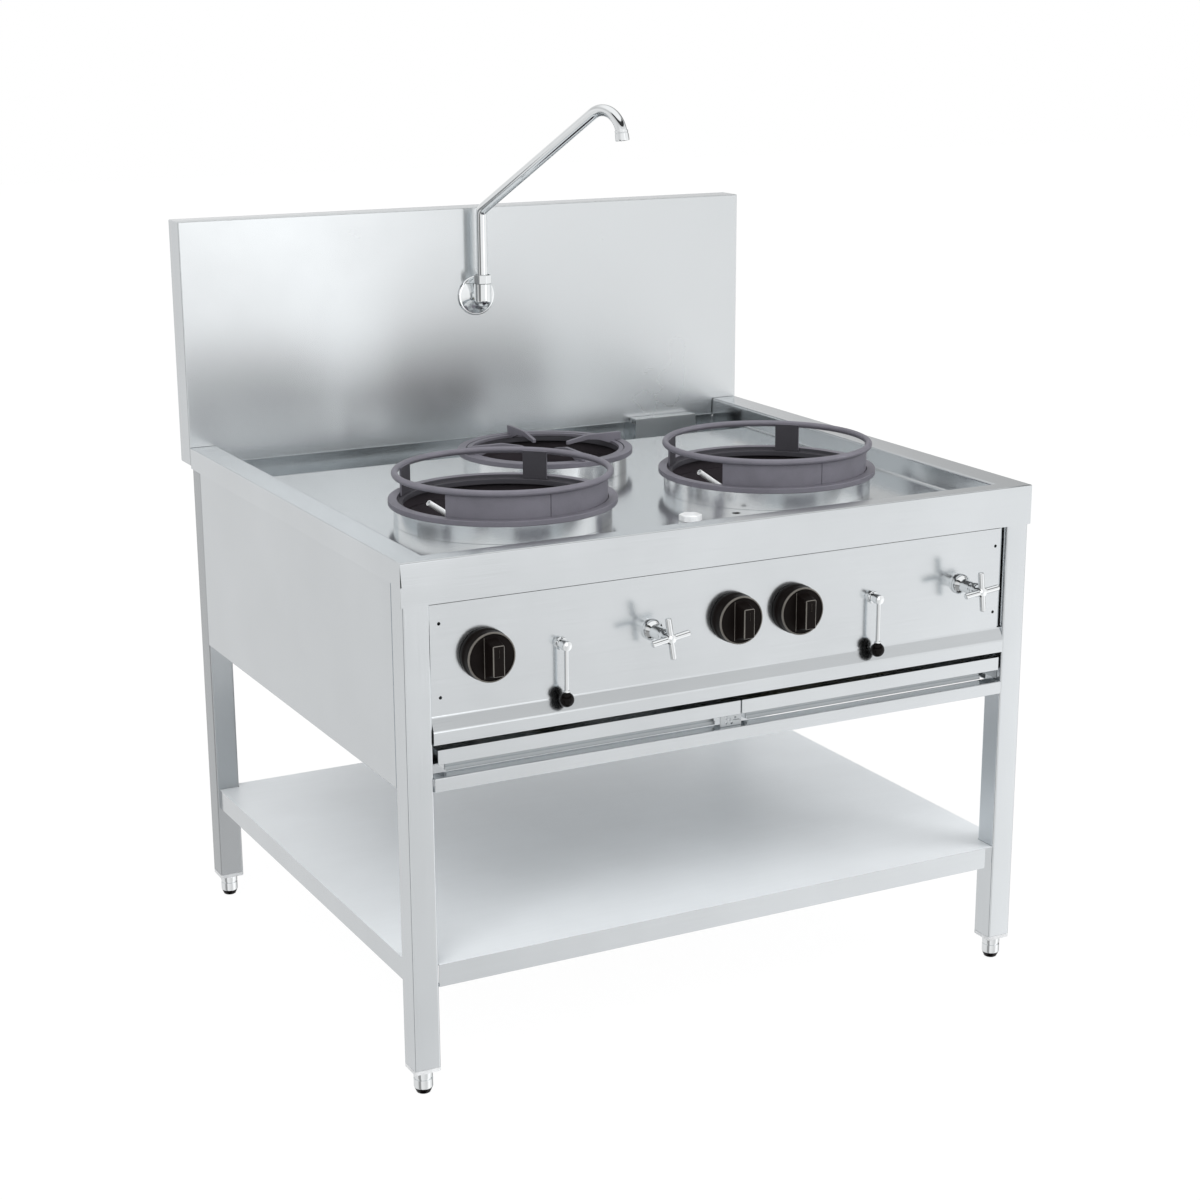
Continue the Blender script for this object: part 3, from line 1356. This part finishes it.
class WOKRANGE_OT_burner_heads(bpy.types.Operator):
    """Model the cast heads with their flame slots, mixing tubes and feed lines"""
    bl_idname = "wok_range.burner_heads"
    bl_label = "Burner heads"

    slots = 24               # round a head

    def execute(self, context):
        for name, (x, y, _) in BURNERS.items():
            valve = KNOBS[name.removeprefix("wok_")]
            crown = 62.0 if name == "rear" else 88.0
            head = self.head(f"head_{name}", x, y, crown)
            piece = smooth(joined(head, self.tube(x, y), self.feed(x, valve)), 35.0)
            dressed(piece, "burner_iron", "cabinet", "burner_iron", f"burner_head_{name}",
                    second="brass", where=lambda at, normal: at.y < BELL_Y + 5.0)
        return {"FINISHED"}

    def head(self, name, x, y, crown):
        """A casting from the jet up to its crown, with a dished top and slots through its rim."""
        floor, low, top = HEAD_FLOOR, JET_HEIGHT, HEAD_FLOOR + 50.0
        piece = turned(name, [
            (0, low - 17), (23, low - 17), (24, low - 16), (24, floor), (46, floor),
            (46, floor + 7), (45, floor + 8), (crown - 1.2, floor + 25.4), (crown, floor + 27),
            (crown, top - 13), (crown - 1, top - 11.5), (crown - 11.5, top - 0.8),
            (crown - 13, top), (crown / 2, top + 4), (crown / 2 - 4, top - 12), (0, top - 12),
        ], spot(x, y, 0), steps=96)
        bars, pairs = [], self.slots // 2
        for k in range(pairs):
            bar = box("slot", spot(x - crown - 6, y - 1.6, top - 18),
                      spot(x + crown + 6, y + 1.6, top + 6))
            bars.append(copied(bar, f"slot_{k}", turn=math.pi * k / pairs, about=spot(x, y, 0)))
            discard(bar)
        core = rod("core", spot(x, y, top - 30), spot(x, y, top + 9), crown - 14, 64)
        for bar in bars:
            cut_out(bar, copied(core, "core_copy"))
        discard(core)
        return cut_out(piece, joined(*bars))

    @staticmethod
    def tube(x, y):
        """Mixing tube from the head forward to its flared bell."""
        length = y - BELL_Y
        return turned("mixing_tube", [
            (0, 0), (16.4, 0), (17, 4), (17, length - 26), (18.4, length - 20), (21, length - 10),
            (23.4, length - 3), (24, length - 1), (23.4, length), (21.6, length), (19, length - 8),
            (0, length - 9),
        ], spot(x, y, JET_HEIGHT), axis="y", steps=48)

    @staticmethod
    def feed(x, valve):
        """Line from the valve down and across to the jet."""
        jet, start, low = BELL_Y - 28.0, CONTROL_HEIGHT - 16.3, JET_HEIGHT
        pipe = swept("feed", bent([
            spot(valve, 58, start), spot(valve, 58, 600), spot(x, jet, 600), spot(x, jet, low),
            spot(x, BELL_Y + 6, low)], 10.0, 6), 5.0, 16)
        nut = rod("nut", spot(valve, 58, start - 12), spot(valve, 58, start - 1), 8.0, 6)
        return joined(pipe, rounded(nut, 0.6, angle=25.0))


class WOKRANGE_OT_small_fittings(bpy.types.Operator):
    """Model the deck's hex cap and the drain's folded cover"""
    bl_idname = "wok_range.small_fittings"
    bl_label = "Deck cap and drain cover"

    def execute(self, context):
        base = spot(541, 168, DECK_TOP + 0.3)
        cap = rod("hex_cap", base, base + mm(0, 0, 9), 18.0, 6)
        edit(cap)
        choose(cap, "faces", lambda face: face.normal.z > 0.9)
        inset(2.6)
        bpy.ops.transform.translate(value=mm(0, 0, 0.01))
        choose(cap, "edges", lambda e: is_sharp(e) and middle(e).z > DECK_TOP + 1)
        bevel(mm(1.6), 3)
        leave()
        smooth(cap, 25.0)
        dressed(cap, "cap_white", "cabinet", "chrome", "deck_cap")
        cover = reworked("drain_cover_sheet", "drain_cover", 0.5)
        dressed(cover, "deck_steel", "drain_cover", "brushed_steel", "drain_cover",
                second="plain_steel", where=lambda at, normal: normal.y < -0.5)
        return {"FINISHED"}


class WOKRANGE_OT_trays(bpy.types.Operator):
    """Model the two drip trays, whose pans hang between the runners, and the runners"""
    bl_idname = "wok_range.trays"
    bl_label = "Drip trays and runners"

    # from each tray's left and right sides to its pan, clear of the runners
    pan_inset = {"left": (18.0, 33.4), "right": (18.0, 21.5)}

    def execute(self, context):
        spans = {"left": (49.7, TRAY_SEAM - 0.9), "right": (TRAY_SEAM + 0.9, 1003.3)}
        for side, span in spans.items():
            piece = self.tray(f"tray_pan_{side}", *span, *self.pan_inset[side])
            dressed(piece, "sheet_steel", f"drip_tray_{side}", "brushed_steel", f"drip_tray_{side}",
                    second="plain_steel", where=lambda at, normal: at.y > 8.0 and normal.y < -0.5)
            runner = reworked(f"runner_angle_{side}", f"tray_runner_{side}", 0.4)
            dressed(runner, "plain_steel", "cabinet", "plain_steel", f"tray_runner_{side}")
        centre = reworked("runner_tee", "tray_runner_centre", 0.3)
        tools = [bore((x, 8.5, z), 3.5, 1.9, 16)
                 for x, z in ((512.5, 482.6), (518.0, 487.4), (521.5, 481.6), (527.5, 489.5))]
        tools.append(box("hole", spot(511.2, 5, 488.2), spot(513.8, 12, 493.0)))
        tools.append(box("hole", spot(523.5, 5, 485.2), spot(539.0, 12, 486.6)))
        cut_out(centre, *tools)
        dressed(centre, "plain_steel", "cabinet", "plain_steel", "tray_runner_centre")
        return {"FINISHED"}

    @staticmethod
    def tray(name, left, right, inset_left, inset_right):
        """An open box whose floor is pushed down between the runners behind the rail."""
        pan_left, pan_right, pan_front = left + inset_left, right - inset_right, 24.0
        piece = box(name, spot(left, 3, 494.8), spot(right, 821.0, 515.9))
        edit(piece)
        choose(piece, "faces", lambda face: face.normal.z > 0.9)
        bpy.ops.mesh.delete(type="FACE")
        for x, y, across in ((pan_left, 0, (1, 0, 0)), (pan_right, 0, (1, 0, 0)),
                             (0, pan_front, (0, 1, 0))):
            choose(piece, "faces", lambda face: face.normal.z < -0.9)
            bisect(spot(x, y, 0), across)
        choose(piece, "faces", lambda face: face.normal.z < -0.9 and middle(face).y > pan_front
               and pan_left < middle(face).x < pan_right)
        extrude(mm(0, 0, -16.3))
        choose(piece, "edges", lambda e: len(e.link_faces) == 2 and is_sharp(e))
        bevel(mm(1.2), 3)
        select_whole()
        weld()
        leave()
        thickened(piece, 1.1)
        hem = box("hem", spot(pan_left + 1, 20.0, 478.9), spot(pan_right - 1, 24.4, 484.4))
        return smooth(joined(piece, rounded(hem, 0.4)), 35.0)


class WOKRANGE_OT_rear(bpy.types.Operator):
    """Model the back panel with its rivets, the gas manifold and the water line"""
    bl_idname = "wok_range.rear"
    bl_label = "Back panel and pipes"

    rivet_rows, rivet_columns, rivet_margin = (470.0, 698.0), 9, 12.0

    def execute(self, context):
        dressed(self.back_panel(), "plain_steel", "cabinet", "plain_steel", "back_panel")
        dressed(self.manifold(), "brass", "cabinet", "brass", "gas_manifold")
        dressed(self.water_line(), "brass", "cabinet", "brass", "water_line")
        return {"FINISHED"}

    def back_panel(self):
        left, right, face = INNER_LEFT, INNER_RIGHT, DEPTH - 1
        path = [(face - 14, PANEL_LOW), (face, PANEL_LOW), (face, 711.0)]
        piece = crosswise_sheet("back_sheet", path, -UP)
        cut_out(piece, bore((GAS_INLET, face, CONTROL_HEIGHT), 5, 16, 48),
                bore((TAPS["spout"][0], face, WATER_PASS), 5, 9, 32))
        smooth(piece, 30.0)
        rivet = turned("rivet", [(0, 0), (3.6, 0), (3.2, 0.55), (2.0, 0.85), (0, 0.95)],
                       Vector(), steps=20)
        stood(rivet, spot(left + self.rivet_margin, face - 0.05, self.rivet_rows[0]),
              Vector((0, 1, 0)))
        rivets, pitch = [], (right - left - 2 * self.rivet_margin) / (self.rivet_columns - 1)
        for row, z in enumerate(self.rivet_rows):
            for k in range(self.rivet_columns):
                shift = mm(k * pitch, 0, z - self.rivet_rows[0])
                rivets.append(copied(rivet, f"rivet_{row}_{k}", shift))
        discard(rivet)
        return smooth(joined(piece, *rivets), 35.0)

    @staticmethod
    def manifold():
        """A bent pipe, closed at its left end and bored at its inlet behind the range."""
        route = [at_controls(KNOBS["left"] - 45, 96), at_controls(GAS_INLET, 96),
                 at_controls(GAS_INLET, DEPTH + 24)]
        pipe = swept("manifold_pipe", bent(route, 30.0, 10), 13.0, 32)
        edit(pipe)
        choose(pipe, "faces", lambda face: len(face.verts) > 8 and middle(face).y > DEPTH)
        inset(3.0)
        sink(30.0)
        leave()
        return smooth(pipe, 40.0)

    @staticmethod
    def water_line():
        x, _ = TAPS["spout"]
        places = [
            spot(x, 40, CONTROL_HEIGHT - 15.3), spot(x, 40, WATER_PASS),
            spot(x, RISER_Y, WATER_PASS), spot(x, RISER_Y, 655),
            spot(SPOUT_X, RISER_Y, 715), spot(SPOUT_X, RISER_Y, SPOUT_HEIGHT - 9.3),
        ]
        pipe = swept("water_pipe", bent(places, 24.0), 6.0)
        nut = rod("nut", spot(x, 40, 612), spot(x, 40, 626.4), 9.0, 6)
        union = rod("union", spot(SPOUT_X, RISER_Y, 975), spot(SPOUT_X, RISER_Y, 990), 9.0, 6)
        for piece in (nut, union):
            rounded(piece, 0.8, angle=25.0)
        return smooth(joined(pipe, nut, union), 35.0)


class WOKRANGE_OT_stage(bpy.types.Operator):
    """Set the floor, the soft lamps, the white surroundings and the camera"""
    bl_idname = "wok_range.stage"
    bl_label = "Studio and camera"

    # azimuth in degrees and brightness in mirror images: soft walls, with a dark flag on the right
    wall_levels = (
        (-180, 0.75), (-170, 0.70), (-142, 0.80), (-136, 0.92), (-110, 0.95), (-82, 1.0),
        (-75, 1.10), (-71, 1.50), (-67, 1.0), (-60, 0.92), (-52, 0.95), (-25, 1.0), (2, 0.85),
        (12, 0.28), (30, 0.28), (42, 0.44), (54, 0.53), (64, 0.83), (90, 0.90), (118, 0.77),
        (150, 0.85), (180, 0.75),
    )
    # just below the horizon, with a bright panel in front and a dark flag at the front left
    low_levels = (
        (-180, 0.75), (-173, 0.70), (-171, 0.22), (-141, 0.22), (-138, 0.92), (-110, 0.90),
        (-82, 0.98), (-76, 1.35), (-72.5, 1.70), (-70, 3.00), (-67.5, 1.40), (-65, 0.97),
        (-56, 0.87), (-50, 0.97), (-25, 1.0), (2, 0.85), (12, 0.34), (30, 0.34), (42, 0.60),
        (62, 0.80), (90, 0.80), (112, 0.76), (150, 0.80), (180, 0.75),
    )
    # the ground
    ground_levels = (
        (-180, 0.75), (-173, 0.70), (-170, 0.34), (-142, 0.34), (-137, 0.92), (-110, 0.85),
        (-80, 0.72), (-68, 0.74), (-66, 0.80), (-61, 0.87), (-57, 0.92), (-53, 0.97), (-50, 1.15),
        (-40, 1.2), (-25, 1.0), (2, 0.85), (12, 0.40), (30, 0.40), (42, 0.60), (62, 0.80),
        (90, 0.80), (112, 0.76), (118, 0.76), (150, 0.80), (180, 0.75),
    )

    def execute(self, context):
        self.floor()
        self.surroundings(context.scene)
        self.lamps()
        self.camera(context.scene)
        context.scene.view_settings.view_transform = "Standard"
        return {"FINISHED"}

    @staticmethod
    def rays(paint):
        """What is seen directly or through glass, and what is seen in a reflection."""
        path = paint.node("ShaderNodeLightPath")
        camera, through, mirrored = (Level(paint, path.outputs[f"Is {kind} Ray"])
                                     for kind in ("Camera", "Transmission", "Glossy"))
        return camera + through, mirrored

    @staticmethod
    def round_about(paint, x, y, levels):
        """Brightness by the direction from the range."""
        share = y.maths("ARCTAN2", y, x) * (0.5 / math.pi) + 0.5
        stops = [((azimuth + 180.0) / 360.0, (level, level, level)) for azimuth, level in levels]
        ramp = paint.node("ShaderNodeValToRGB", {"stops": stops}, {"Fac": share})
        return Level(paint, ramp.outputs["Color"])

    @staticmethod
    def step(paint, value, start, end, low=0.0, high=1.0):
        """A smooth step from one level to another."""
        node = paint.node("ShaderNodeMapRange", {"interpolation_type": "SMOOTHSTEP"}, {
            "Value": value, "From Min": start, "From Max": end, "To Min": low, "To Max": high})
        return Level(paint, node.outputs[0])

    def floor(self):
        side = studio().floor_size
        deselect()
        bpy.ops.mesh.primitive_plane_add(size=side, location=(0, 0, -0.0006))
        floor = settled("studio_floor")
        paint = Paint("floor_white")
        seen, _ = self.rays(paint)
        glow = paint.node("ShaderNodeEmission", None, {"Color": (1, 1, 1, 1), "Strength": 1.02})
        paint.set(Base_Color=(0.9, 0.9, 0.9, 1), Roughness=0.8)
        mix = paint.node("ShaderNodeMixShader", None, {"Fac": seen * 0.95})
        paint.tree.links.new(paint.shader.outputs[0], mix.inputs[1])
        paint.tree.links.new(glow.outputs[0], mix.inputs[2])
        out = next(n for n in paint.tree.nodes if n.type == "OUTPUT_MATERIAL")
        paint.tree.links.new(mix.outputs[0], out.inputs["Surface"])
        floor.data.materials.append(paint.owner)
        floor.visible_glossy = False

    def surroundings(self, scene):
        world = bpy.data.worlds.new("studio_white")
        scene.world = world
        paint = Paint("studio_white", world)
        seen, mirrored = self.rays(paint)
        ambient = studio().ambient
        place = paint.node("ShaderNodeTexCoord").outputs["Generated"]
        split = paint.node("ShaderNodeSeparateXYZ", None, {0: place})
        x, y, z = (Level(paint, split.outputs[k]) for k in (0, 1, 2))
        high = self.step(paint, z, 0.55, 0.85)
        lower = self.step(paint, z, 0.30, 0.42, 1.0, 0.78)
        flag = (self.step(paint, z, 0.48, 0.52) * self.step(paint, z, 0.76, 0.72)
                * self.step(paint, y, 0.0, -0.15))
        walls = self.round_about(paint, x, y, self.wall_levels)
        upper_half = (walls * lower * (1.0 - high) + high) * (1.0 - flag * 0.95)
        steep = self.step(paint, z, -0.13, -0.26)
        low = self.round_about(paint, x, y, self.low_levels)
        ground = self.round_about(paint, x, y, self.ground_levels)
        pit = self.step(paint, z, -0.88, -0.97, 1.0, studio().pit_level)
        lower_half = (low * (1.0 - steep) + ground * steep) * pit
        above = self.step(paint, z, -0.03, 0.03)
        mirror_level = upper_half * above + lower_half * (1.0 - above)
        back = next(n for n in paint.tree.nodes if n.type == "BACKGROUND")
        paint.feed(back.inputs["Color"], (1, 1, 1, 1))
        paint.feed(back.inputs["Strength"],
                   seen + mirrored * mirror_level + (1.0 - seen - mirrored) * ambient)

    @staticmethod
    def lamps():
        spots = (("key_lamp", studio().key_power, 2.2, (-2.6, -2.4, 3.2)),
                 ("fill_lamp", studio().fill_power, 2.6, (3.0, -2.2, 2.6)))
        for name, power, size, place in spots:
            bpy.ops.object.light_add(type="AREA", location=place)
            lamp = bpy.context.object
            lamp.name = name
            lamp.data.energy, lamp.data.size = power, size
            lamp.visible_glossy = False
            aim = Vector((0, 0, 0.7)) - Vector(place)
            lamp.rotation_euler = aim.to_track_quat("-Z", "Y").to_euler()

    @staticmethod
    def camera(scene):
        """The photograph's eye point, turn and framing."""
        down = Vector((-0.13088, -0.24144, -0.96155))
        forward = Vector((0.45902, 0.84491, -0.27463)).normalized()
        up = (-down - forward * (-down).dot(forward)).normalized()
        right = forward.cross(up).normalized()
        bpy.ops.object.camera_add(location=(-1.66178, -3.20196, 1.53329))
        camera = bpy.context.object
        camera.rotation_euler = Matrix((right, up, -forward)).transposed().to_euler()
        camera.data.sensor_width = 36.0
        camera.data.lens = 36.0 * 2301.375 / 1200.0
        camera.data.shift_x = (600.0 - 638.44) / 1200.0
        camera.data.shift_y = (636.77 - 600.0) / 1200.0
        camera.data.clip_end = 100.0
        scene.camera = camera


class WOKRANGE_PT_panel(bpy.types.Panel):
    """Lists the settings and the operators"""
    bl_label = "Wok Range"
    bl_idname = "WOKRANGE_PT_panel"
    bl_space_type = "VIEW_3D"
    bl_region_type = "UI"
    bl_category = "Wok Range"

    def draw(self, context):
        for group in (finishes(), shapes(), studio()):
            column = self.layout.column()
            for key in group.__annotations__:
                column.prop(group, key)
        for operator in OPERATORS:
            self.layout.operator(operator.bl_idname)


GROUPS = {
    "wok_range_finishes": WokRangeFinishes,
    "wok_range_shapes": WokRangeShapes,
    "wok_range_studio": WokRangeStudio,
}
OPERATORS = (
    WOKRANGE_OT_stage, WOKRANGE_OT_finishes, WOKRANGE_OT_worktop, WOKRANGE_OT_splashback,
    WOKRANGE_OT_skins, WOKRANGE_OT_legs, WOKRANGE_OT_feet, WOKRANGE_OT_burners,
    WOKRANGE_OT_wok_rings, WOKRANGE_OT_pan_support, WOKRANGE_OT_knobs, WOKRANGE_OT_levers,
    WOKRANGE_OT_taps, WOKRANGE_OT_spout, WOKRANGE_OT_pilots, WOKRANGE_OT_burner_heads,
    WOKRANGE_OT_small_fittings, WOKRANGE_OT_trays, WOKRANGE_OT_rear,
)


def register():
    for name, group in GROUPS.items():
        bpy.utils.register_class(group)
        setattr(bpy.types.Scene, name, bpy.props.PointerProperty(type=group))
    for item in (*OPERATORS, WOKRANGE_PT_panel):
        bpy.utils.register_class(item)


def unregister():
    for item in (WOKRANGE_PT_panel, *reversed(OPERATORS)):
        bpy.utils.unregister_class(item)
    for name, group in reversed(GROUPS.items()):
        delattr(bpy.types.Scene, name)
        bpy.utils.unregister_class(group)


def main():
    register()
    for operator in OPERATORS:
        category, name = operator.bl_idname.split(".")
        getattr(getattr(bpy.ops, category), name)()


if __name__ == "__main__":
    main()
